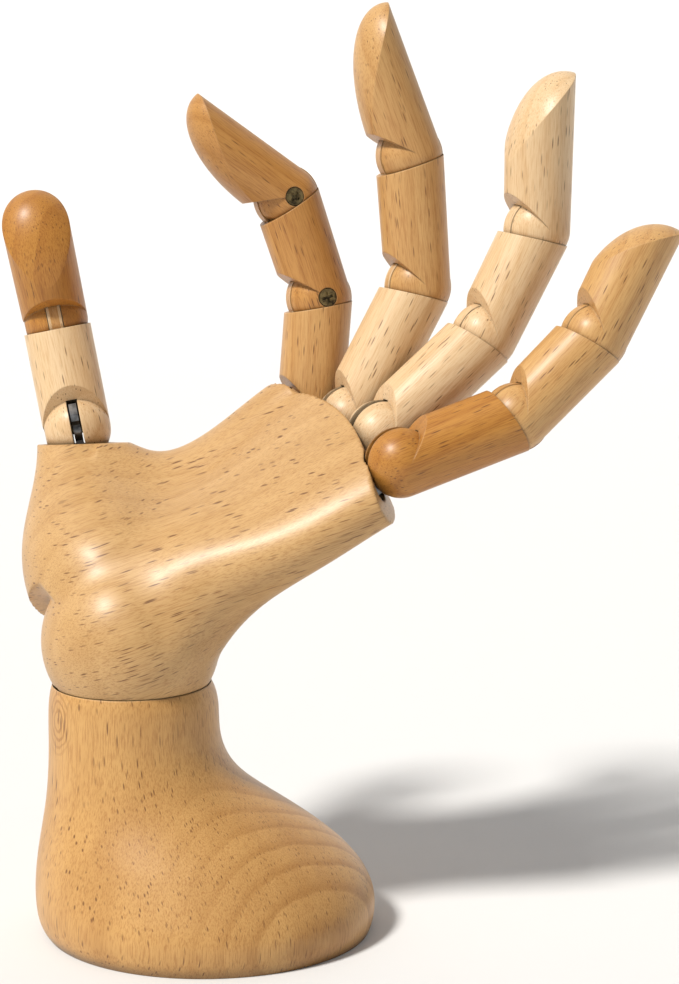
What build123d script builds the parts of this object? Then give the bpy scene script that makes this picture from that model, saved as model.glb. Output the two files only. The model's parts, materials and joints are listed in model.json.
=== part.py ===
"""Articulated wooden hand mannequin: a left hand on a wrist-shaped stand.

The floor is z = 0 and the origin is the centre of the foot. Millimetres, +Z up.
Every finger piece is drawn in its own local frame, where the origin is the centre of
its lower ball, +Z points to the fingertip, +Y is the palm side and +X the thumb side
of the finger. The joint angles then place the pieces in the posed hand.
"""

from build123d import *

import os
from math import cos, radians, sin, tan

os.makedirs("parts", exist_ok=True)

# ---------------------------------------------------------------- driving dimensions
finger_r = 6.2              # outer radius of a finger segment at its cup rim
ball_r = 5.95               # ball at the lower end of a middle or tip segment
knuckle_r = 6.15            # ball at the lower end of a proximal segment
cup_gap = 0.12              # radial gap between a ball and its cup

notch_rise = 48             # degrees: slope of the palm-side cut above each ball
rim_slope = 15              # degrees: the cup rim is higher on the back of the finger
rim_drop = 0.28 * finger_r  # middle of the rim below the ball centre

tongue_t = 2.6              # wooden tongue of an interphalangeal joint
tongue_gap = 0.10           # on each side of the tongue, and above it
tongue_slot_w = tongue_t + 2 * tongue_gap
strap_t = 1.4               # steel strap inside a knuckle ball
strap_slot_w = 2.0          # saw slot that holds the strap
strap_eye_r = 2.6
strap_tail_w = 3.2
strap_hole_r = 0.55         # where the spring hooks on
strap_nose = [(4.0, 0.9), (4.9, 1.6), (4.9, 2.9), (3.0, 4.8)]   # corners, as (y, z)

screw_r = 0.80              # pivot screw shank
head_r = 1.60
head_h = 1.0
head_sink = 0.25            # top of the head below the ball surface
recess_depth = 0.55         # cross recess in the head
recess_w = 0.54
recess_l = 2.0
pocket_r = 1.75             # counterbore round the head
pivot_clearance = 0.05      # radial, between a shank and the piece that turns on it

spring_r = 2.0              # outer radius of a knuckle spring
spring_wire = 0.6           # wire diameter
spring_bore_r = 2.9
spring_room = 2.5           # bore depth below the pin at a spring's foot
coil_pitch = 2.35           # from turn to turn, in wire diameters
strap_tail = 8.6            # end of a knuckle strap below the ball centre
anchor_r = 1.0              # pins that hold the far ends of the knuckle springs

wrist_height = 52.4         # centre of the wrist ball above the floor
neck_x = -13.0              # the neck stands behind the middle of the foot
wrist_r = 15.7              # wrist ball at the foot of the palm
wrist_gap = 0.15
neck_top = 45.6             # top edge of the stand's neck

wrist_strap_t = 2.2
wrist_strap_w = 3.6
wrist_strap_tail = 18.0     # end of the strap below the wrist centre
wrist_eye_r = 3.9
wrist_spring_r = 3.6
wrist_spring_wire = 0.9
anchor_bar_r = 1.5
anchor_bar_half = 7.4
hook_gap = 0.4              # between a spring and the strap or pin that it pulls on

# Wrist pose in degrees: turned on the neck, leaning sideways, tilted back
wrist_turn, wrist_lean, wrist_tilt = 23.5, -4.0, 51.0

# Knuckle ball centres in the palm frame, which has its origin in the wrist ball, x to
# the thumb side, y out of the palm and z to the fingertips
row_pitch = 13.3
knuckle_z = 56.4
outer_drop = 2.9            # the index and little knuckles sit lower
end_arc_r = 50              # the palm's end face is an arc across the row
end_arc_top = (1.0, 8.0, 54.3)  # its highest point, on the palm side
end_slope = 10              # degrees: the end face falls towards the back of the hand

# Thumb seat in the palm frame: ball centre, and the turns that aim the seat
thumb_centre = (32.3, 23.5, 19.8)
thumb_aim = (57.5, 49.2, -12.8)
thumb_seat_depth = 0.42 * knuckle_r
thumb_seat_r = 7.4

# Lengths from ball to ball, knuckle angles (twist, spread, bend), the bend of each
# joint above, the side that the screw heads are on, and the tip's pad: how far out it
# starts and how high
fingers = {
    "index": dict(column=1.5, drop=outer_drop, bones=(21.6, 19.3, 24.4),
                  knuckle=(-12, 1.5, 44.5), curl=(23.5, 37.5), heads=-1, pad=(5.5, 4)),
    "middle": dict(column=0.5, drop=0, bones=(27.0, 23.6, 27.0),
                   knuckle=(-10, 0, 21.5), curl=(32.5, 18), heads=1, pad=(5.8, 4)),
    "ring": dict(column=-0.5, drop=0, bones=(26.0, 21.2, 28.0),
                 knuckle=(-3, 1.8, 0.5), curl=(22, 28), heads=1, pad=(6.2, 9)),
    "little": dict(column=-1.5, drop=outer_drop, bones=(22.3, 19.8, 23.6),
                   knuckle=(-11, -1.0, -21), curl=(24.5, 19), heads=1, pad=(6.2, 8)),
    "thumb": dict(bones=(21.1, 23.7), knuckle=(2, 9.5, -13.5), curl=(38,), heads=1,
                  pad=(6.2, 6)),
}
reach = 4 * finger_r        # cutters reach this far past the wood


# ---------------------------------------------------------------- frames
def turned(z=0, y=0, x=0):
    """Turns about Z, then about the new Y, then about the new X, in degrees."""
    spin = Location((0, 0, 0), (0, 0, z))
    lean = Location((0, 0, 0), (0, y, 0))
    bend = Location((0, 0, 0), (x, 0, 0))
    return spin * lean * bend


def joint_note(name, place, local_axis):
    """Prints a joint's pivot in metres and its axis, for the motion record."""
    origin = place.position
    axis = (place * Location(local_axis)).position - origin
    print(name, [round(v / 1000, 7) for v in origin], [round(v, 10) for v in axis])


wrist_place = Location((neck_x, 0, wrist_height))
palm_place = wrist_place * turned(90 + wrist_turn, wrist_lean, wrist_tilt)


# ---------------------------------------------------------------- finger pieces
def ball_and_shaft(ball, length, top_r):
    """A turned blank: a ball that runs on into a slightly flaring shaft."""
    with BuildPart() as blank:
        with BuildSketch(Plane.XZ):
            with BuildLine():
                CenterArc((0, 0), ball, -90, 90)
                Line((ball, 0), (top_r, length))
                Line((top_r, length), (0, length))
                Line((0, length), (0, -ball))
            make_face()
        revolve(axis=Axis.Z)
    return blank.part


def palm_side_notch(ball):
    """What the finger needs cut away on the palm side so that it can bend."""
    with BuildPart() as notch:
        with BuildSketch(Plane.YZ):
            with BuildLine():
                Polyline((0, 0), (reach, reach * tan(radians(notch_rise))), (reach, -reach),
                         (0, -reach), close=True)
            make_face()
        extrude(amount=reach, both=True)
        Sphere(ball, mode=Mode.SUBTRACT)
    return notch.part


def saw_slot(width, roof_r):
    """A slot across the ball from palm side to back, with a round roof."""
    with BuildPart() as slot:
        with BuildSketch(Plane.YZ):
            Circle(roof_r)
            with Locations((0, -reach / 2)):
                Rectangle(2 * roof_r, reach)
        extrude(amount=width / 2, both=True)
    return slot.part


def across(radius, x_low, x_high, height=0):
    """A round bar along X, used for shanks, heads and their holes."""
    with BuildPart() as bar:
        with BuildSketch(Plane.YZ.offset(x_low)):
            with Locations((0, height)):
                Circle(radius)
        extrude(amount=x_high - x_low)
    return bar.part


def cup_and_rim(length):
    """The cup for the next ball, cut with a sloping rim, that leaves the tongue."""
    palm_rim = length - rim_drop - reach * tan(radians(rim_slope))
    back_rim = length - rim_drop + reach * tan(radians(rim_slope))
    with BuildPart() as cutter:
        with BuildSketch(Plane.YZ):
            with BuildLine():
                Polyline((reach, palm_rim), (reach, length + reach), (-reach, length + reach),
                         (-reach, back_rim), close=True)
            make_face()
        extrude(amount=reach, both=True)
        with Locations((0, 0, length)):
            Sphere(ball_r + cup_gap)
        with BuildSketch(Plane.YZ) as tongue:
            with Locations((0, length)):
                Circle(ball_r)
            with BuildLine():
                Polyline((finger_r, length - reach), (finger_r, palm_edge(length, finger_r)),
                         (-finger_r, palm_edge(length, -finger_r)), (-finger_r, length - reach),
                         close=True)
            make_face()
        extrude(amount=tongue_t / 2, both=True, mode=Mode.SUBTRACT)
    return cutter.part


def palm_edge(length, y):
    """Height of the sloping rim at y."""
    return length - rim_drop - y * tan(radians(rim_slope))


def tongue_disc(length):
    """The round end of the tongue."""
    with BuildPart() as disc:
        with BuildSketch(Plane.YZ):
            with Locations((0, length)):
                Circle(ball_r)
        extrude(amount=tongue_t / 2, both=True)
    return disc.part


def screw_span(ball, heads):
    """Along X from the head's seat to the blind end of the shank."""
    top = heads * (ball - head_sink)
    return top, top - heads * head_h, -heads * 0.72 * ball


def screw_pocket(ball, heads):
    """The stepped hole that holds a pivot screw in a ball."""
    top, seat, end = screw_span(ball, heads)
    outside = heads * 2 * ball
    pocket = across(pocket_r, min(outside, seat), max(outside, seat))
    shank = across(screw_r, min(seat, end), max(seat, end))
    return pocket + shank


def pivot_screw(ball, heads):
    """A cross-head screw whose head sits in its pocket."""
    top, seat, end = screw_span(ball, heads)
    with BuildPart() as screw:
        add(across(head_r, min(top, seat), max(top, seat)))
        add(across(screw_r, min(seat, end), max(seat, end)))
        with Locations((top, 0, 0)):
            Box(2 * recess_depth, recess_w, recess_l, mode=Mode.SUBTRACT)
            Box(2 * recess_depth, recess_l, recess_w, mode=Mode.SUBTRACT)
    return screw.part


def segment(ball, length, slot_w, heads):
    """A proximal or middle segment: ball, notch and slot below, cup and tongue above."""
    with BuildPart() as bone:
        add(ball_and_shaft(ball, length, finger_r))
        add(palm_side_notch(ball), mode=Mode.SUBTRACT)
        add(cup_and_rim(length), mode=Mode.SUBTRACT)
        add(tongue_disc(length))
        add(across(screw_r + pivot_clearance, -tongue_t, tongue_t, length), mode=Mode.SUBTRACT)
        add(saw_slot(slot_w, ball + tongue_gap), mode=Mode.SUBTRACT)
        add(screw_pocket(ball, heads), mode=Mode.SUBTRACT)
    return bone.part


def fingertip(length, heads, pad_reach, pad_start):
    """A tip segment: its palm side is an ellipsoid that leaves a ridge on each flank."""
    pad_y = -0.8 * ball_r
    with BuildPart() as tip:
        add(ball_and_shaft(ball_r, length, finger_r))
        with BuildSketch(Plane.XZ.offset(-pad_y)):
            with BuildLine():
                EllipticalCenterArc((0, pad_start), pad_reach - pad_y, length - pad_start,
                                    0, arc_size=90)
                Polyline((0, length), (0, -2 * ball_r), (pad_reach - pad_y, -2 * ball_r),
                         (pad_reach - pad_y, pad_start))
            make_face()
        revolve(axis=Axis((0, pad_y, 0), (0, 0, 1)), mode=Mode.INTERSECT)
        add(palm_side_notch(ball_r), mode=Mode.SUBTRACT)
        add(saw_slot(tongue_slot_w, ball_r + tongue_gap), mode=Mode.SUBTRACT)
        add(screw_pocket(ball_r, heads), mode=Mode.SUBTRACT)
    return tip.part


def strap():
    """The steel strap of a knuckle: an eye on the screw and a tail to the spring.

    A nose on its palm side fills the top of the saw slot.
    """
    with BuildPart() as plate:
        with BuildSketch(Plane.YZ):
            Circle(strap_eye_r)
            with Locations((0, -strap_tail / 2)):
                Rectangle(strap_tail_w, strap_tail)
            with BuildLine():
                Polyline((0, 0), *strap_nose, (0, strap_nose[-1][1]), close=True)
            make_face()
            Circle(screw_r + pivot_clearance, mode=Mode.SUBTRACT)
            with Locations((0, 2 * strap_hole_r - strap_tail)):
                Circle(strap_hole_r, mode=Mode.SUBTRACT)
        extrude(amount=strap_t / 2, both=True)
    return plate.part


def spring(outer_r, wire, top, bottom):
    """A coil spring along Z, from top down to bottom, without its end hooks."""
    coil_r = outer_r - wire / 2
    with BuildPart() as coil:
        with BuildLine() as path:
            Helix(coil_pitch * wire, top - bottom - wire, coil_r, center=(0, 0, bottom + wire / 2))
        with BuildSketch(Plane(path.line @ 0, z_dir=path.line % 0)):
            Circle(wire / 2)
        sweep()
    return coil.part


# ---------------------------------------------------------------- palm
# Sections across the palm, from the wrist to past the knuckles: height, half width,
# half thickness, shift towards the palm side, squareness, lean (the thumb side is higher)
palm_sections = [
    (0, 15.4, 15.4, 0.0, 2.0, 0),
    (9, 15.6, 12.6, 0.9, 2.0, 1),
    (17, 17.0, 10.8, 1.9, 2.1, 2),
    (26, 20.6, 9.0, 1.5, 2.2, 3),
    (37, 24.2, 8.0, 0.8, 2.4, 4),
    (47, 26.3, 7.8, 0.2, 2.5, 5),
    (57, 27.3, 7.8, 0.0, 2.6, 6),
]
# The root of the thumb runs from the wrist to the thumb seat: distance along the way
# (0 to 1) and radius
thumb_root_sections = [(0.0, 14.2), (0.14, 14.7), (0.35, 15.6), (0.62, 13.1), (0.85, 9.2),
                       (1.0, thumb_seat_r)]
# The web runs from the thumb seat to the index knuckle: a point on its crest, its half
# thickness there and how deep it reaches below the crest
web_sections = [
    ((30.5, 19.5, 21.0), 5.0, 7.0),
    ((27.2, 12.6, 25.8), 5.6, 9.0),
    ((25.4, 9.0, 30.5), 5.8, 10.0),
    ((24.2, 7.4, 37.6), 5.6, 9.0),
    ((23.3, 7.2, 45.6), 5.0, 7.0),
    ((22.2, 6.8, 53.6), 4.6, 6.0),
]
web_crest = (0.85, 0.20, 0.49)      # the way the crest faces

seat_place = Location(thumb_centre) * turned(*thumb_aim)


def superellipse(half_w, half_t, shift, squareness, lean, count=24):
    """Points of a rounded-rectangle outline that is closed and smooth."""
    points = []
    slope = tan(radians(lean))
    for k in range(count):
        angle = radians(360 * k / count)
        c, s = cos(angle), sin(angle)
        x = half_w * abs(c) ** (2 / squareness) * (1 if c >= 0 else -1)
        y = half_t * abs(s) ** (2 / squareness) * (1 if s >= 0 else -1)
        points.append((x, y + shift + slope * x))
    return points


def palm_block():
    """The hand's flat part, lofted up from the wrist ball."""
    with BuildPart() as block:
        for height, *outline in palm_sections:
            with BuildSketch(Plane.XY.offset(height)):
                with BuildLine():
                    Spline(*superellipse(*outline), periodic=True)
                make_face()
        loft()
        Sphere(wrist_r)
    return block.part


def thumb_root():
    """The fleshy root of the thumb, from inside the wrist ball to the thumb seat."""
    seat_centre = (seat_place * Location((0, 0, -thumb_seat_depth))).position
    aim = (seat_place * Location((0, 0, 1))).position - seat_place.position
    way = seat_centre.normalized()
    with BuildPart() as root:
        for along, radius in thumb_root_sections:
            normal = way * (1 - along) + aim * along
            with BuildSketch(Plane(seat_centre * along, z_dir=normal)):
                Circle(radius)
        loft()
    return root.part


def web():
    """The fold of skin between the thumb seat and the index knuckle."""
    crest = Vector(*web_crest).normalized()
    points = [Vector(*point) for point, thickness, depth in web_sections]
    ways = [b - a for a, b in zip(points, points[1:])]
    ways.append(ways[-1])
    with BuildPart() as fold:
        for point, way, (_, thickness, depth) in zip(points, ways, web_sections):
            across_way = (crest - way * (crest.dot(way) / way.dot(way))).normalized()
            with BuildSketch(Plane(point - across_way * depth, x_dir=across_way, z_dir=way)):
                Ellipse(depth, thickness)
        loft()
    return fold.part


def knuckle_centre(column, drop):
    return (column * row_pitch, 0, knuckle_z - drop)


finger_anchor_z = 38.0          # height of the pin across the palm
finger_anchor_ends = (-21.8, 23.5)
thumb_anchor_depth = 17.0       # below the thumb's ball centre
thumb_anchor_ends = (-5.8, 8.0)
seat_gap = 0.15                 # between a knuckle ball and its seat in the palm
pin_fit = 0.02                  # a pin is this much smaller than its hole, in radius
wrist_pin_r = 1.6
wrist_pin_ends = (-11.8, 13.0)
wrist_slot_w = 3.0
wrist_slot_swing = (-4, 54)     # degrees that the strap swings in the slot, back is plus
neck_tilts = range(-4, 40, 9)   # poses, in degrees, whose room for the neck is cut away
neck_leans = (-9, -4, 2)


def pin_hole(radius, ends, height=0):
    """A blind hole for a pin, open on the thumb side."""
    return across(radius, ends[0] - 0.2, reach, height)


def swing_slot(width, low, high, radius):
    """A slot about the X axis that leaves room for the wrist strap to swing."""
    strap_room = wrist_strap_w + 0.4
    with BuildPart() as cutter:
        with BuildSketch(Plane.YZ):
            Circle(wrist_eye_r + 0.3)
            with BuildLine():
                start = (-radius * sin(radians(high)), -radius * cos(radians(high)))
                Line((0, 0), start)
                CenterArc((0, 0), radius, -90 - high, high - low)
                Line((-radius * sin(radians(low)), -radius * cos(radians(low))), (0, 0))
            make_face()
            for swing in (low, high):
                with Locations(Location((0, 0), -90 - swing)):
                    with Locations((radius / 2, 0)):
                        Rectangle(radius, strap_room)
        extrude(amount=width / 2, both=True)
    return cutter.part


def neck_ring():
    """The room that the stand's neck needs round the wrist ball."""
    top = neck_top - wrist_height + wrist_gap
    with BuildPart() as ring:
        with BuildSketch(Plane.XZ):
            with Locations((wrist_r, top - wrist_r / 4)):
                Rectangle(wrist_r / 4, wrist_r / 2)
        revolve(axis=Axis.Z)
        Sphere(wrist_r, mode=Mode.SUBTRACT)
    return ring.part


def palm():
    """The palm block with its seats, bores, pin holes and the wrist slot."""
    row = [knuckle_centre(f["column"], f["drop"]) for f in fingers.values() if "column" in f]
    end_plane = Plane(end_arc_top, x_dir=(1, 0, 0),
                      z_dir=(0, -cos(radians(end_slope)), -sin(radians(end_slope))))
    with BuildPart() as body:
        add(palm_block())
        add(thumb_root())
        add(web())
        with BuildSketch(end_plane):
            Rectangle(6 * end_arc_r, 0.8 * end_arc_r)
            with Locations((0, -end_arc_r)):
                Circle(end_arc_r, mode=Mode.SUBTRACT)
        extrude(amount=reach, both=True, mode=Mode.SUBTRACT)
        with Locations(*row):
            Sphere(knuckle_r + seat_gap, mode=Mode.SUBTRACT)
        for x, y, z in row:
            with BuildSketch(Plane((x, y, finger_anchor_z - spring_room))):
                Circle(spring_bore_r)
            extrude(amount=z - finger_anchor_z, mode=Mode.SUBTRACT)
        add(pin_hole(anchor_r, finger_anchor_ends, 0).moved(Location((0, 0, finger_anchor_z))),
            mode=Mode.SUBTRACT)
        with BuildSketch(Plane(seat_place).offset(-thumb_seat_depth)):
            Circle(1.5 * thumb_seat_r)
        extrude(amount=reach, mode=Mode.SUBTRACT)
        with Locations(seat_place):
            Sphere(knuckle_r + seat_gap, mode=Mode.SUBTRACT)
        with BuildSketch(Plane(seat_place).offset(-thumb_anchor_depth - spring_room)):
            Circle(spring_bore_r)
        extrude(amount=thumb_anchor_depth, mode=Mode.SUBTRACT)
        add(pin_hole(anchor_r, thumb_anchor_ends, -thumb_anchor_depth).moved(seat_place),
            mode=Mode.SUBTRACT)
        for tilt in neck_tilts:
            for lean in neck_leans:
                add(neck_ring().moved(turned(0, 0, -tilt) * turned(0, -lean)),
                    mode=Mode.SUBTRACT)
        add(swing_slot(wrist_slot_w, *wrist_slot_swing, 1.2 * wrist_r), mode=Mode.SUBTRACT)
        add(pin_hole(wrist_pin_r, wrist_pin_ends), mode=Mode.SUBTRACT)
    return body.part


def pin(radius, ends):
    """A plain steel pin along X."""
    return across(radius - pin_fit, ends[0], ends[1])


# ---------------------------------------------------------------- stand
# Level sections through the stand: height, back end (-x), toe end (+x), half width
stand_sections = [
    (0.0, -28.4, 29.0, 27.4),
    (1.5, -29.5, 29.5, 28.0),
    (4.5, -30.3, 29.9, 28.5),
    (10.0, -30.4, 28.3, 26.8),
    (16.5, -29.6, 22.3, 23.4),
    (23.0, -28.5, 13.0, 19.2),
    (29.0, -27.9, 5.4, 16.5),
    (36.0, -27.7, 2.5, 15.1),
    (42.0, -27.5, 2.1, 14.6),
    (neck_top, -26.6, 0.7, 13.7),
]
stand_bore_r = 5.2
foot_bore_r = 8.0
foot_bore_h = 8.0


def stand():
    """The wrist-shaped stand: a neck that runs out into a round foot."""
    with BuildPart() as body:
        for height, back, toe, half_w in stand_sections:
            with BuildSketch(Plane.XY.offset(height)):
                with Locations(((back + toe) / 2, 0)):
                    Ellipse((toe - back) / 2, half_w)
        loft()
        with Locations((neck_x, 0, wrist_height)):
            Sphere(wrist_r + wrist_gap, mode=Mode.SUBTRACT)
        with BuildSketch(Plane.XY):
            with Locations((neck_x, 0)):
                Circle(stand_bore_r)
        extrude(amount=wrist_height, mode=Mode.SUBTRACT)
        with BuildSketch(Plane.XY):
            with Locations((neck_x, 0)):
                Circle(foot_bore_r)
        extrude(amount=foot_bore_h, mode=Mode.SUBTRACT)
    return body.part


# ---------------------------------------------------------------- wrist joint
def wrist_strap():
    """The steel strap of the wrist: an eye on the pin and a tail down into the stand."""
    hook_hole_r = 0.8
    with BuildPart() as plate:
        with BuildSketch(Plane.YZ):
            Circle(wrist_eye_r)
            with Locations((0, -wrist_strap_tail / 2)):
                Rectangle(wrist_strap_w, wrist_strap_tail)
            Circle(wrist_pin_r + pivot_clearance, mode=Mode.SUBTRACT)
            with Locations((0, 2 * hook_hole_r - wrist_strap_tail)):
                Circle(hook_hole_r, mode=Mode.SUBTRACT)
        extrude(amount=wrist_strap_t / 2, both=True)
    return plate.part


def keep(part, name, place=Location((0, 0, 0))):
    """Moves a piece to its place in the posed hand and writes its file."""
    placed = part.moved(place)
    placed.label = name
    export_step(placed, f"parts/{name}.step")


# ---------------------------------------------------------------- assembly
anchor_bar_z = foot_bore_h - anchor_bar_r - pin_fit
wrist_spring_top = -wrist_strap_tail - hook_gap
wrist_spring_foot = anchor_bar_z + anchor_bar_r + hook_gap - wrist_height

turn_place = wrist_place * turned(90 + wrist_turn)
lean_place = turn_place * turned(0, wrist_lean)
keep(stand(), "stand")
keep(across(anchor_bar_r, -anchor_bar_half, anchor_bar_half), "wrist_anchor_bar",
     Location((neck_x, 0, anchor_bar_z)))
keep(spring(wrist_spring_r, wrist_spring_wire, wrist_spring_top, wrist_spring_foot),
     "wrist_spring", turn_place)
keep(wrist_strap(), "wrist_strap", lean_place)
keep(palm(), "palm", palm_place)
keep(pin(wrist_pin_r, wrist_pin_ends), "wrist_pin", palm_place)
keep(pin(anchor_r, finger_anchor_ends), "finger_anchor_pin",
     palm_place * Location((0, 0, finger_anchor_z)))
keep(pin(anchor_r, thumb_anchor_ends), "thumb_anchor_pin",
     palm_place * seat_place * Location((0, 0, -thumb_anchor_depth)))
joint_note("wrist_turn", wrist_place, (0, 0, 1))
joint_note("wrist_lean", turn_place, (0, 1, 0))
joint_note("wrist_tilt", lean_place, (1, 0, 0))

for finger, spec in fingers.items():
    if finger == "thumb":
        base_place = palm_place * seat_place
        anchor_depth = thumb_anchor_depth
        names = ["proximal", "tip"]
    else:
        centre = knuckle_centre(spec["column"], spec["drop"])
        base_place = palm_place * Location(centre)
        anchor_depth = centre[2] - finger_anchor_z
        names = ["proximal", "middle", "tip"]
    twist, spread, bend = spec["knuckle"]
    spring_place = base_place * turned(twist)
    strap_place = base_place * turned(twist, spread)
    place = base_place * turned(twist, spread, -bend)
    joint_note(finger + "_twist", base_place, (0, 0, 1))
    joint_note(finger + "_spread", spring_place, (0, 1, 0))
    joint_note(finger + "_bend", strap_place, (1, 0, 0))
    spring_foot = anchor_r + hook_gap - anchor_depth
    keep(spring(spring_r, spring_wire, -strap_tail - hook_gap, spring_foot),
         f"{finger}_spring", spring_place)
    keep(strap(), f"{finger}_strap", strap_place)
    keep(pivot_screw(knuckle_r, 1), f"{finger}_knuckle_screw", place)
    keep(segment(knuckle_r, spec["bones"][0], strap_slot_w, 1),
         f"{finger}_proximal", place)
    for name, lower, length, curl in zip(names[1:], spec["bones"], spec["bones"][1:],
                                         spec["curl"]):
        place = place * Location((0, 0, lower))
        joint_note(f"{finger}_{name}_bend", place, (1, 0, 0))
        place = place * turned(0, 0, -curl)
        if name == "tip":
            bone = fingertip(length, spec["heads"], *spec["pad"])
        else:
            bone = segment(ball_r, length, tongue_slot_w, spec["heads"])
        keep(bone, f"{finger}_{name}", place)
        keep(pivot_screw(ball_r, spec["heads"]), f"{finger}_{name}_screw", place)
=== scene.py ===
"""A jointed beech artist's hand: smooth carved palm, wood and metal finishes, studio light."""
import json
from math import cos, pi, radians, sin

import bpy
import numpy as np
from mathutils import Matrix, Vector
from mathutils.kdtree import KDTree


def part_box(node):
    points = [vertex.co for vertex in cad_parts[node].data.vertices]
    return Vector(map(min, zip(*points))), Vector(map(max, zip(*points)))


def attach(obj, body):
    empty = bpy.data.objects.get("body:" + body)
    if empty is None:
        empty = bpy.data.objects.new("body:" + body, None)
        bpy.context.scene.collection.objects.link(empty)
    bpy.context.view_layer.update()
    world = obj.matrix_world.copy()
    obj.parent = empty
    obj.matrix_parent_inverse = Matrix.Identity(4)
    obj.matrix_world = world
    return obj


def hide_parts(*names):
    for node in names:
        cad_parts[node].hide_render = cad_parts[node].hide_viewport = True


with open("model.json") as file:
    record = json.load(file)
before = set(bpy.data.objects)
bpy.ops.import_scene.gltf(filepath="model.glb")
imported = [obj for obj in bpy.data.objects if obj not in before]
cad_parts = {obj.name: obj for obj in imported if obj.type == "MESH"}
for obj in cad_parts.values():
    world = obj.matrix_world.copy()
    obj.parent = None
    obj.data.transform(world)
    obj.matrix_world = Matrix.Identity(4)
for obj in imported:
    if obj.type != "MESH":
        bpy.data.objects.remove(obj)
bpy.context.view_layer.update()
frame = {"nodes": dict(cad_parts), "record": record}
nodes = frame["nodes"]
joints = {joint["name"]: joint for joint in frame["record"]["behaviour"]["joints"]}
MM = 0.001


# ---------------------------------------------------------------- mesh helpers
def vertex_array(mesh):
    points = np.empty(len(mesh.vertices) * 3)
    mesh.vertices.foreach_get("co", points)
    return points.reshape(-1, 3)


def edge_array(mesh):
    ends = np.empty(len(mesh.edges) * 2, dtype=np.int64)
    mesh.edges.foreach_get("vertices", ends)
    return ends.reshape(-1, 2)


# ---------------------------------------------------------------- node helpers
def new_material(name):
    """A material with a Principled shader; returns it, its tree and the shader."""
    material = bpy.data.materials.new(name)
    material.use_nodes = True
    tree = material.node_tree
    return material, tree, tree.nodes["Principled BSDF"]


def link(tree, source, target):
    tree.links.new(source, target)


def math(tree, operation, a, b=None, clamp=False):
    """A Math node; a and b are sockets or numbers."""
    node = tree.nodes.new("ShaderNodeMath")
    node.operation = operation
    node.use_clamp = clamp
    for socket, value in zip(node.inputs, (a, b)):
        if value is None:
            continue
        if isinstance(value, (int, float)):
            socket.default_value = value
        else:
            link(tree, value, socket)
    return node.outputs[0]


def noise(tree, vector, scale, detail=2.0, roughness=0.5):
    node = tree.nodes.new("ShaderNodeTexNoise")
    node.inputs["Scale"].default_value = scale
    node.inputs["Detail"].default_value = detail
    node.inputs["Roughness"].default_value = roughness
    link(tree, vector, node.inputs["Vector"])
    return node.outputs["Fac"]


def ramp(tree, fac, stops):
    """A colour ramp; stops are (position, grey) or (position, (r, g, b))."""
    node = tree.nodes.new("ShaderNodeValToRGB")
    elements = node.color_ramp.elements
    while len(elements) < len(stops):
        elements.new(0.5)
    for element, (position, colour) in zip(elements, stops):
        element.position = position
        if isinstance(colour, (int, float)):
            colour = (colour, colour, colour)
        element.color = (*colour, 1)
    link(tree, fac, node.inputs["Fac"])
    return node.outputs["Color"]


def mix(tree, fac, a, b, blend="MIX"):
    """Mixes two colours; each is a socket or an (r, g, b)."""
    node = tree.nodes.new("ShaderNodeMix")
    node.data_type = "RGBA"
    node.blend_type = blend
    for socket, value in ((node.inputs[0], fac), (node.inputs[6], a), (node.inputs[7], b)):
        if isinstance(value, (int, float)):
            socket.default_value = value
        elif isinstance(value, tuple):
            socket.default_value = (*value, 1)
        else:
            link(tree, value, socket)
    return node.outputs[2]


def stretched(tree, vector, scales):
    """The vector with each axis multiplied."""
    node = tree.nodes.new("ShaderNodeVectorMath")
    node.operation = "MULTIPLY"
    link(tree, vector, node.inputs[0])
    node.inputs[1].default_value = scales
    return node.outputs[0]


def grain_space(tree, grain, flat, offset):
    """Object coordinates in millimetres, turned so that Z runs along the grain.

    flat is the direction across the growth rings.
    """
    z_axis = Vector(grain).normalized()
    x_axis = (Vector(flat) - Vector(flat).dot(z_axis) * z_axis).normalized()
    y_axis = z_axis.cross(x_axis)
    turn = Matrix((x_axis, y_axis, z_axis)).transposed().to_euler()
    coordinates = tree.nodes.new("ShaderNodeTexCoord")
    mapping = tree.nodes.new("ShaderNodeMapping")
    mapping.vector_type = "TEXTURE"
    mapping.inputs["Location"].default_value = offset
    mapping.inputs["Rotation"].default_value = turn
    mapping.inputs["Scale"].default_value = (MM, MM, MM)
    link(tree, coordinates.outputs["Object"], mapping.inputs["Vector"])
    return mapping.outputs["Vector"]


# ---------------------------------------------------------------- beech
# Each tone is the linear colour of the early wood and of the late wood.
TONES = {
    "pale": ((0.76, 0.56, 0.335), (0.66, 0.43, 0.215)),
    "mid": ((0.63, 0.375, 0.145), (0.50, 0.26, 0.085)),
    "warm": ((0.56, 0.285, 0.080), (0.42, 0.185, 0.040)),
    "amber": ((0.52, 0.235, 0.042), (0.38, 0.145, 0.022)),
    "palm": ((0.62, 0.385, 0.165), (0.48, 0.265, 0.092)),
    "stand": ((0.61, 0.345, 0.118), (0.43, 0.210, 0.058)),
}
FLECK = (0.12, 0.040, 0.010)
# the pale colour painted along edges as a highlight
EDGE_HIGHLIGHT_COLOUR = (0.86, 0.66, 0.40)


def distance_from(tree, place, squash=(1, 1, 1)):
    """Distance in metres from a place, each axis weighted by squash."""
    coordinates = tree.nodes.new("ShaderNodeTexCoord")
    offset = tree.nodes.new("ShaderNodeVectorMath")
    offset.operation = "SUBTRACT"
    link(tree, coordinates.outputs["Object"], offset.inputs[0])
    offset.inputs[1].default_value = place
    length = tree.nodes.new("ShaderNodeVectorMath")
    length.operation = "LENGTH"
    link(tree, stretched(tree, offset.outputs[0], squash), length.inputs[0])
    return length.outputs["Value"]


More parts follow.
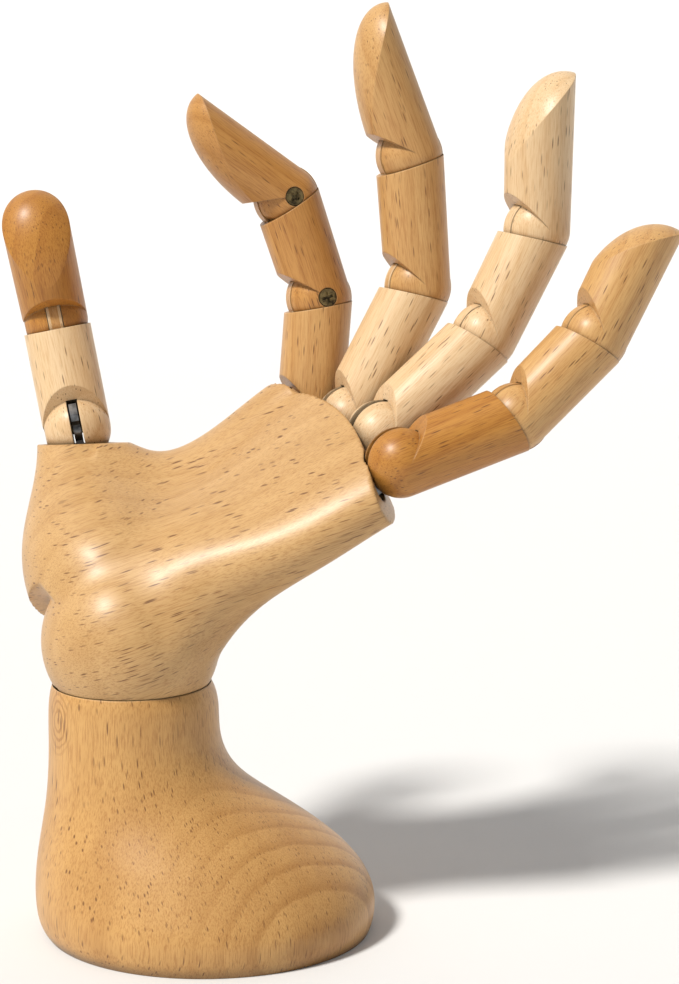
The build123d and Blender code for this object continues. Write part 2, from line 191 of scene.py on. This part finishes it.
def fade_in_x(tree, start, full):
    """0 where object x is below start, 1 above full."""
    coordinates = tree.nodes.new("ShaderNodeTexCoord")
    separate = tree.nodes.new("ShaderNodeSeparateXYZ")
    link(tree, coordinates.outputs["Object"], separate.inputs[0])
    shifted = math(tree, "SUBTRACT", separate.outputs[0], start)
    return math(tree, "DIVIDE", shifted, full - start, clamp=True)


def add_knot(tree, colour, dark, place):
    """A small knot: oval lines round a brown eye."""
    reach = distance_from(tree, place, (1.0, 0.6, 0.55))
    coordinates = tree.nodes.new("ShaderNodeTexCoord")
    ripple = noise(tree, coordinates.outputs["Object"], 300, 2.0)
    reach = math(tree, "ADD", reach, math(tree, "MULTIPLY", ripple, 1.2 * MM))
    wave = math(tree, "SINE", math(tree, "MULTIPLY", reach, 2 * pi / (0.75 * MM)))
    lines = math(tree, "MULTIPLY", ramp(tree, wave, [(0.0, 0.0), (0.7, 1.0)]),
                 ramp(tree, math(tree, "DIVIDE", reach, 4.8 * MM), [(0.55, 0.85), (1.0, 0.0)]))
    colour = mix(tree, lines, colour, dark)
    eye = ramp(tree, math(tree, "DIVIDE", reach, MM), [(0.75, 0.85), (1.0, 0.0)])
    return mix(tree, eye, colour, FLECK)


def dashes(tree, space, size, spacing, kept, softness):
    """Short marks of (across, thin, along) size in mm, spacing sizes apart, thinned out at random."""
    cells = stretched(tree, space, [1 / (spacing * side) for side in size])
    voronoi = tree.nodes.new("ShaderNodeTexVoronoi")
    voronoi.inputs["Scale"].default_value = 1.0
    voronoi.inputs["Randomness"].default_value = 0.95
    link(tree, cells, voronoi.inputs["Vector"])
    reach = 0.5 / spacing
    near = ramp(tree, voronoi.outputs["Distance"],
                [(reach * (1 - softness), 1.0), (reach * (1 + softness), 0.0)])
    cell = tree.nodes.new("ShaderNodeSeparateColor")
    link(tree, voronoi.outputs["Color"], cell.inputs[0])
    return math(tree, "MULTIPLY", near, math(tree, "GREATER_THAN", cell.outputs[0], 1 - kept))


def beech(name, tone, grain, flat, offset=(0, 0, 0), ring_pitch=5.0, ring_strength=0.35,
          ring_from=None, wander_mm=10.0, fleck_size=(0.5, 0.26, 2.1), fleck_kept=0.30,
          tongue=None, knot=None, edge_highlight=0.20):
    """Varnished beech: soft growth rings, fine pores along the grain and short ray flecks.

    ring_from is (x where rings begin to show, x where they show fully), in metres.
    tongue is (pivot, radius, tone): the wood within radius of the pivot has that tone.
    knot is a place in metres that the figure swirls round.
    """
    material, tree, shader = new_material(name)
    space = grain_space(tree, grain, flat, offset)
    early, late = TONES[tone]

    # growth rings: bands across X that wander with the grain
    wander = noise(tree, stretched(tree, space, (0.05, 0.05, 0.012)), 1.0, 3.0)
    separate = tree.nodes.new("ShaderNodeSeparateXYZ")
    link(tree, space, separate.inputs[0])
    across = math(tree, "ADD", separate.outputs[0], math(tree, "MULTIPLY", wander, wander_mm))
    phase = math(tree, "FRACT", math(tree, "DIVIDE", across, ring_pitch))
    band = ramp(tree, phase, [(0.0, 0.0), (0.55, 0.25), (0.84, 1.0), (0.93, 0.8), (1.0, 0.0)])
    ring_fac = math(tree, "MULTIPLY", band, ring_strength)
    if ring_from:
        ring_fac = math(tree, "MULTIPLY", ring_fac, fade_in_x(tree, *ring_from))
    colour = mix(tree, ring_fac, early, late)
    if tongue:
        pivot, radius, tongue_tone = tongue
        inside = math(tree, "LESS_THAN", distance_from(tree, pivot), radius)
        colour = mix(tree, inside, colour, TONES[tongue_tone][0])
    if knot:
        colour = add_knot(tree, colour, late, knot)

    # broad changes of tone along the piece
    cloud = noise(tree, stretched(tree, space, (0.13, 0.13, 0.035)), 1.0, 3.0)
    colour = mix(tree, ramp(tree, cloud, [(0.38, 0.0), (0.72, 0.5)]), colour, late)

    # fibres and pores: very fine lines along the grain
    pores = noise(tree, stretched(tree, space, (4.6, 4.6, 0.22)), 1.0, 3.0, 0.65)
    colour = mix(tree, ramp(tree, pores, [(0.46, 0.0), (0.70, 0.5)]), colour, late, "MULTIPLY")
    fine = dashes(tree, space, (0.16, 0.13, 1.1), 1.7, 0.34, 0.5)
    colour = mix(tree, math(tree, "MULTIPLY", fine, 0.42), colour, late)

    # ray flecks: dark dashes, denser in some patches
    fleck = dashes(tree, space, fleck_size, 2.0, fleck_kept, 0.35)
    patch = noise(tree, stretched(tree, space, (0.16, 0.16, 0.09)), 1.0, 1.0)
    dense = ramp(tree, patch, [(0.34, 0.5), (0.58, 1.0)])
    fleck_fac = math(tree, "MULTIPLY", math(tree, "MULTIPLY", fleck, dense), 0.82)
    colour = mix(tree, fleck_fac, colour, FLECK)

    # painted highlight: edges are mixed towards a pale colour, as if they caught the light
    bevel = tree.nodes.new("ShaderNodeBevel")
    bevel.samples = 6
    bevel.inputs["Radius"].default_value = 0.35 * MM
    geometry = tree.nodes.new("ShaderNodeNewGeometry")
    facing = tree.nodes.new("ShaderNodeVectorMath")
    facing.operation = "DOT_PRODUCT"
    link(tree, bevel.outputs[0], facing.inputs[0])
    link(tree, geometry.outputs["Normal"], facing.inputs[1])
    edge_highlight_mask = ramp(tree, facing.outputs["Value"], [(0.80, 1.0), (0.985, 0.0)])
    # painted highlight along the edges, at the strength given by edge_highlight
    colour = mix(tree, math(tree, "MULTIPLY", edge_highlight_mask, edge_highlight), colour, EDGE_HIGHLIGHT_COLOUR)
    # painted shade: ambient occlusion darkens the colour in creases, hollows and between parts
    occlusion = tree.nodes.new("ShaderNodeAmbientOcclusion")
    occlusion.samples = 5
    occlusion.inputs["Distance"].default_value = 3.5 * MM
    shade = ramp(tree, occlusion.outputs["AO"], [(0.15, 0.30), (0.75, 1.0)])
    colour = mix(tree, 1.0, colour, shade, "MULTIPLY")
    link(tree, colour, shader.inputs["Base Color"])

    # varnish: a satin coat over a slightly uneven surface
    shader.inputs["Roughness"].default_value = 0.5
    shader.inputs["Specular IOR Level"].default_value = 0.3
    shader.inputs["Coat Weight"].default_value = 0.42
    shader.inputs["Coat Roughness"].default_value = 0.34
    shader.inputs["Coat IOR"].default_value = 1.5
    waves = noise(tree, stretched(tree, space, (0.45, 0.45, 0.12)), 1.0, 3.0, 0.6)
    relief = math(tree, "ADD", math(tree, "MULTIPLY", waves, 0.6),
                  math(tree, "MULTIPLY", pores, 0.06))
    relief = math(tree, "SUBTRACT", relief, math(tree, "MULTIPLY", fleck_fac, 0.05))
    bump = tree.nodes.new("ShaderNodeBump")
    bump.inputs["Strength"].default_value = 0.5
    bump.inputs["Distance"].default_value = 0.4 * MM
    link(tree, relief, bump.inputs["Height"])
    link(tree, bevel.outputs[0], bump.inputs["Normal"])
    link(tree, bump.outputs[0], shader.inputs["Normal"])
    return material


# ---------------------------------------------------------------- metal
def metal(name, colour, dark, roughness, scratch_scale):
    """Worn metal: patches of tarnish and fine scratches."""
    material, tree, shader = new_material(name)
    coordinates = tree.nodes.new("ShaderNodeTexCoord")
    patches = noise(tree, coordinates.outputs["Object"], scratch_scale, 3.0, 0.6)
    fac = ramp(tree, patches, [(0.38, 0.0), (0.66, 1.0)])
    link(tree, mix(tree, fac, colour, dark), shader.inputs["Base Color"])
    shader.inputs["Metallic"].default_value = 0.9
    shader.inputs["Roughness"].default_value = roughness
    bump = tree.nodes.new("ShaderNodeBump")
    bump.inputs["Strength"].default_value = 0.2
    bump.inputs["Distance"].default_value = 0.05 * MM
    link(tree, patches, bump.inputs["Height"])
    link(tree, bump.outputs[0], shader.inputs["Normal"])
    return material


steel = metal("steel", (0.32, 0.33, 0.34), (0.14, 0.145, 0.15), 0.38, 700)
screw_metal = metal("screw_metal", (0.36, 0.27, 0.12), (0.06, 0.045, 0.025), 0.34, 900)


def dress(node, material):
    """Gives a CAD node one material in all its slots."""
    slots = nodes[node].data.materials
    slots.clear()
    slots.append(material)


for record_part in frame["record"]["subparts"]:
    if record_part["material_slot"] == "steel":
        dress(record_part["node"], steel)
    elif record_part["material_slot"] == "screw":
        dress(record_part["node"], screw_metal)

# ---------------------------------------------------------------- finger wood
SEGMENT_TONES = {
    "index_proximal": "mid", "index_middle": "warm", "index_tip": "warm",
    "middle_proximal": "pale", "middle_middle": "mid", "middle_tip": "mid",
    "ring_proximal": "pale", "ring_middle": "pale", "ring_tip": "pale",
    "little_proximal": "amber", "little_middle": "mid", "little_tip": "mid",
    "thumb_proximal": "pale", "thumb_tip": "amber",
}


def bend_joint(node):
    """The hinge that a segment bends about."""
    return joints["%s_bend" % node.replace("_proximal", "")]


def segment_axis(node):
    """From a segment's own pivot towards its middle."""
    middle = vertex_array(nodes[node].data).mean(axis=0)
    return (Vector(middle) - Vector(bend_joint(node)["pos_m"])).normalized()


NEXT_JOINT = {"proximal": ("middle_bend", "middle"), "middle": ("tip_bend", "tip")}
TONGUE_REACH = 6.0 * MM
FIGURE_TURN = 0.9                       # radians, and metres: no two segments are cut alike
FIGURE_SHIFT = (0.031, 0.017, 0.011)


def tongue_of(node):
    """(pivot, radius, tone) of the tongue that a segment reaches into the next one with."""
    finger, part = node.rsplit("_", 1)
    if part not in NEXT_JOINT:
        return None
    joint, following = NEXT_JOINT[part]
    if "%s_%s" % (finger, joint) not in joints:
        joint, following = NEXT_JOINT["middle"]
    pivot = joints["%s_%s" % (finger, joint)]["pos_m"]
    return pivot, TONGUE_REACH, SEGMENT_TONES["%s_%s" % (finger, following)]


for count, (node, tone) in enumerate(sorted(SEGMENT_TONES.items())):
    axis = segment_axis(node)
    flat = Matrix.Rotation(FIGURE_TURN * count, 3, axis) @ Vector(bend_joint(node)["axis"])
    dress(node, beech("beech_%s" % node, tone, axis, flat,
                      offset=(FIGURE_SHIFT[0] * count, *FIGURE_SHIFT[1:]),
                      ring_pitch=3.4, ring_strength=0.55, fleck_size=(0.22, 0.2, 1.9),
                      tongue=tongue_of(node)))

# ---------------------------------------------------------------- stand wood
KNOT = (-0.0255, -0.0085, 0.040)
dress("stand", beech("beech_stand", "stand", (0.04, 0, 1), (0.72, -0.69, 0), ring_pitch=3.5,
                     ring_strength=0.85, ring_from=(-0.010, 0.016), wander_mm=3.5,
                     fleck_size=(0.45, 0.17, 2.6), fleck_kept=0.40, knot=KNOT))

# ---------------------------------------------------------------- palm
PALM_VOXEL = 0.36 * MM
SEAT_KEEP = 1.6 * MM       # carved surface nearer than this to another piece is left alone
WRIST_KEEP = 12.5 * MM
NECK_REACH = 27 * MM
TILT_STEPS = 15
FINGER_STEPS = 5
SWEEP_GRID = 0.4 * MM
ROUNDING_STEPS = (0.6, -0.61)   # smooths, then puts back what that shrank
WRIST_HOLLOW = 27 * MM      # hollows nearer the wrist than this are filled right up
SOFT_START = 5.0 * MM      # edges are rounded over only beyond this distance
FILL_ROUNDS = 600
FILL_STEP = 0.8
NORMALS_EVERY = 10
CREASE_ROUNDS = 45         # the crease of the palm stays visible: it is filled for fewer rounds
FINISH_ROUNDS = 200


def triangle_array(mesh):
    mesh.calc_loop_triangles()
    corners = np.empty(len(mesh.loop_triangles) * 3, dtype=np.int64)
    mesh.loop_triangles.foreach_get("vertices", corners)
    return corners.reshape(-1, 3)


def neighbour_mean(points, edges, count):
    """The mean of each vertex's neighbours."""
    total = np.empty_like(points)
    for axis in range(3):
        total[:, axis] = (np.bincount(edges[:, 0], points[edges[:, 1], axis], len(points))
                          + np.bincount(edges[:, 1], points[edges[:, 0], axis], len(points)))
    return total / count[:, None]


def vertex_normals(triangles, points):
    """Area-weighted vertex normals for moved points."""
    normals = np.zeros_like(points)
    a, b, c = (points[triangles[:, i]] for i in range(3))
    face = np.cross(b - a, c - a)
    for i in range(3):
        for axis in range(3):
            normals[:, axis] += np.bincount(triangles[:, i], face[:, axis], len(points))
    return normals / np.maximum(np.linalg.norm(normals, axis=1), 1e-12)[:, None]


def turned_about(points, joint, degrees):
    """Points turned about a hinge's axis."""
    turn = np.array(Matrix.Rotation(radians(degrees), 3, Vector(joint["axis"])))
    pivot = np.array(joint["pos_m"])
    return (points - pivot) @ turn.T + pivot


def swept_past_palm():
    """Places, seen from the palm, that the pieces next to it take as its joints move."""
    places = []
    tilt, lean = joints["wrist_tilt"], joints["wrist_lean"]
    for node in ("stand", "wrist_strap"):
        points = vertex_array(nodes[node].data)
        close = np.linalg.norm(points - np.array(tilt["pos_m"]), axis=1) < NECK_REACH
        for leaning in (0, *lean["range_deg"]):
            leant = turned_about(points[close], lean, -leaning)
            for tilting in np.linspace(*tilt["range_deg"], TILT_STEPS):
                places.append(turned_about(leant, tilt, -tilting))
    for name, joint in joints.items():
        finger, motion = name.rsplit("_", 1)
        moved = {"spread": "%s_strap" % finger, "bend": "%s_proximal" % finger}.get(motion)
        if moved not in nodes:
            continue
        points = vertex_array(nodes[moved].data)
        for angle in np.linspace(*joint["range_deg"], FINGER_STEPS):
            places.append(turned_about(points, joint, angle))
    thinned = np.round(np.concatenate(places) / SWEEP_GRID)
    return np.unique(thinned, axis=0) * SWEEP_GRID


def distance_to_others(points, own):
    """How far each point is from any other CAD node, wherever the joints take that."""
    others = [vertex_array(o.data) for name, o in nodes.items() if name != own]
    others.append(swept_past_palm())
    stacked = np.concatenate(others)
    tree = KDTree(len(stacked))
    for index, point in enumerate(stacked):
        tree.insert(point, index)
    tree.balance()
    return np.array([tree.find(point)[2] for point in points])


def rising(distance, start, span):
    """0 up to start, 1 from start + span."""
    return np.clip((distance - start) / span, 0, 1)


def carve_palm():
    """The palm as one carved block: its creases filled to soft hollows, its fits kept."""
    source = nodes["palm"]
    piece = bpy.data.objects.new("carved_palm", source.data.copy())
    bpy.context.scene.collection.objects.link(piece)
    remesh = piece.modifiers.new("remesh", "REMESH")
    remesh.mode = "VOXEL"
    remesh.voxel_size = PALM_VOXEL
    evaluated = piece.evaluated_get(bpy.context.evaluated_depsgraph_get())
    mesh = bpy.data.meshes.new_from_object(evaluated)
    piece.modifiers.clear()
    piece.data = mesh

    points = vertex_array(mesh)
    edges = edge_array(mesh)
    count = np.bincount(edges.ravel(), minlength=len(points)).astype(float)
    triangles = triangle_array(mesh)

    near_fit = distance_to_others(points, "palm")
    wrist = np.array(joints["wrist_tilt"]["pos_m"])
    near_wrist = np.linalg.norm(points - wrist, axis=1)
    free = rising(near_fit, SEAT_KEEP, 2 * MM) * rising(near_wrist, WRIST_KEEP, 3 * MM)

    away_from_seats = free * rising(near_fit, SOFT_START, 5 * MM)
    low_down = 1 - rising(near_wrist, WRIST_HOLLOW, 6 * MM)

    for turn in range(FILL_ROUNDS):
        if turn == CREASE_ROUNDS:
            free = free * low_down
        if turn % NORMALS_EVERY == 0:
            normals = vertex_normals(triangles, points)
        pull = neighbour_mean(points, edges, count) - points
        outward = np.einsum("ij,ij->i", pull, normals)
        weight = free * (outward > 0) * FILL_STEP
        points += pull * weight[:, None]
    for _ in range(FINISH_ROUNDS):
        for step in ROUNDING_STEPS:
            pull = neighbour_mean(points, edges, count) - points
            points += pull * (step * away_from_seats)[:, None]

    low, high = (np.array(corner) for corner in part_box("palm"))
    points = np.clip(points, low, high)
    mesh.vertices.foreach_set("co", points.ravel())
    mesh.polygons.foreach_set("use_smooth", [True] * len(mesh.polygons))
    mesh.update()
    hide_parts("palm")
    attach(piece, "palm")
    return piece


palm = carve_palm()
palm.data.materials.clear()
palm.data.materials.append(
    beech("beech_palm", "palm", (0.93, 0.15, 0.30), (0.0, -1.0, -0.1), ring_pitch=7.0,
          fleck_size=(0.8, 0.19, 2.3), fleck_kept=0.42))

# ---------------------------------------------------------------- set, light, camera
FLOOR_HALF_WIDTH = 4.0
FLOOR_FRONT = -3.0
BEND_START = 0.9
BEND_RADIUS = 0.7
WALL_TOP = 4.0
BEND_STEPS = 24


def sweep():
    """A pale paper sweep: flat floor, round bend, upright wall."""
    profile = [(FLOOR_FRONT, 0.0)]
    for step in range(BEND_STEPS + 1):
        angle = 0.5 * pi * step / BEND_STEPS
        profile.append((BEND_START + BEND_RADIUS * sin(angle), BEND_RADIUS * (1 - cos(angle))))
    profile.append((BEND_START + BEND_RADIUS, WALL_TOP))
    points = [(side * FLOOR_HALF_WIDTH, y, z) for y, z in profile for side in (-1, 1)]
    faces = [(2 * i, 2 * i + 1, 2 * i + 3, 2 * i + 2) for i in range(len(profile) - 1)]
    mesh = bpy.data.meshes.new("sweep")
    mesh.from_pydata(points, [], faces)
    mesh.polygons.foreach_set("use_smooth", [True] * len(mesh.polygons))
    paper, _, shader = new_material("paper")
    shader.inputs["Base Color"].default_value = (0.76, 0.76, 0.76, 1)
    shader.inputs["Roughness"].default_value = 0.9
    mesh.materials.append(paper)
    backdrop = bpy.data.objects.new("sweep", mesh)
    backdrop.location.z = -0.05 * MM
    bpy.context.scene.collection.objects.link(backdrop)


sweep()

world = bpy.data.worlds.new("studio")
bpy.context.scene.world = world
world.use_nodes = True
world.node_tree.nodes["Background"].inputs["Color"].default_value = (0.93, 0.96, 1.0, 1)
world.node_tree.nodes["Background"].inputs["Strength"].default_value = 0.27

SUN_FROM = (-0.58, -0.48, 0.95)
sun_data = bpy.data.lights.new("sun", "SUN")
sun_data.energy = 3.75
sun_data.angle = radians(10.0)
sun_data.color = (1.0, 0.965, 0.91)
sun = bpy.data.objects.new("sun", sun_data)
sun.rotation_euler = Vector(SUN_FROM).to_track_quat("Z", "Y").to_euler()
bpy.context.scene.collection.objects.link(sun)

camera_data = bpy.data.cameras.new("camera")
camera_data.sensor_fit = "VERTICAL"
camera_data.sensor_height = 24
camera_data.lens = 67.07
camera = bpy.data.objects.new("camera", camera_data)
camera.location = (0.0236, -0.470, 0.165)
camera.rotation_euler = (radians(79.6), 0, 0)
bpy.context.scene.collection.objects.link(camera)
bpy.context.scene.camera = camera
bpy.context.scene.view_settings.view_transform = "Standard"
